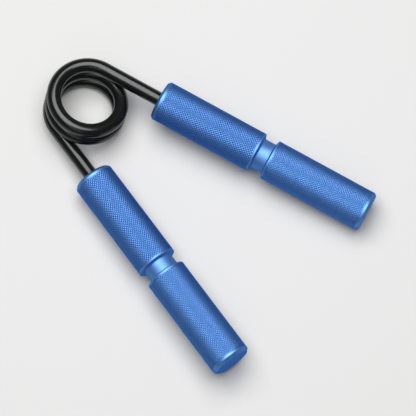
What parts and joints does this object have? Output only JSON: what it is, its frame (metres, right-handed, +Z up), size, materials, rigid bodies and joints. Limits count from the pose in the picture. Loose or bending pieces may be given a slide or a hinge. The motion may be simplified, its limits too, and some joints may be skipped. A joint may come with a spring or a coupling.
{
  "type": "hand gripper",
  "caption": "Squeeze-type hand strengthener: knurled round handles on the straight legs of a coiled steel torsion spring.",
  "frame": {"origin": "on the floor, under the middle of the gripper's box as it lies at rest", "axes": "+Y along the middle line from the handles towards the coil, +X towards the finger handle, +Z up"},
  "size_m": [0.0994, 0.134, 0.0227],
  "materials": {
    "handle_anodised": "blue anodised, satin, with a fine knurl",
    "spring_black": "black satin coat on spring steel"
  },
  "bodies": {
    "palm_side": {"palm_handle": "handle_anodised", "torsion_spring": "spring_black"},
    "finger_side": {"finger_handle": "handle_anodised"}
  },
  "joints": [
    {"name": "squeeze", "type": "hinge", "parent": "palm_side", "child": "finger_side", "pos_m": [0, 0.04997, 0.01132], "axis": [-0.243, 0.0038, -0.97], "range_deg": [0, 34.5], "stiffness_Nm_per_rad": 56, "deforming": ["torsion_spring"]}
  ]
}
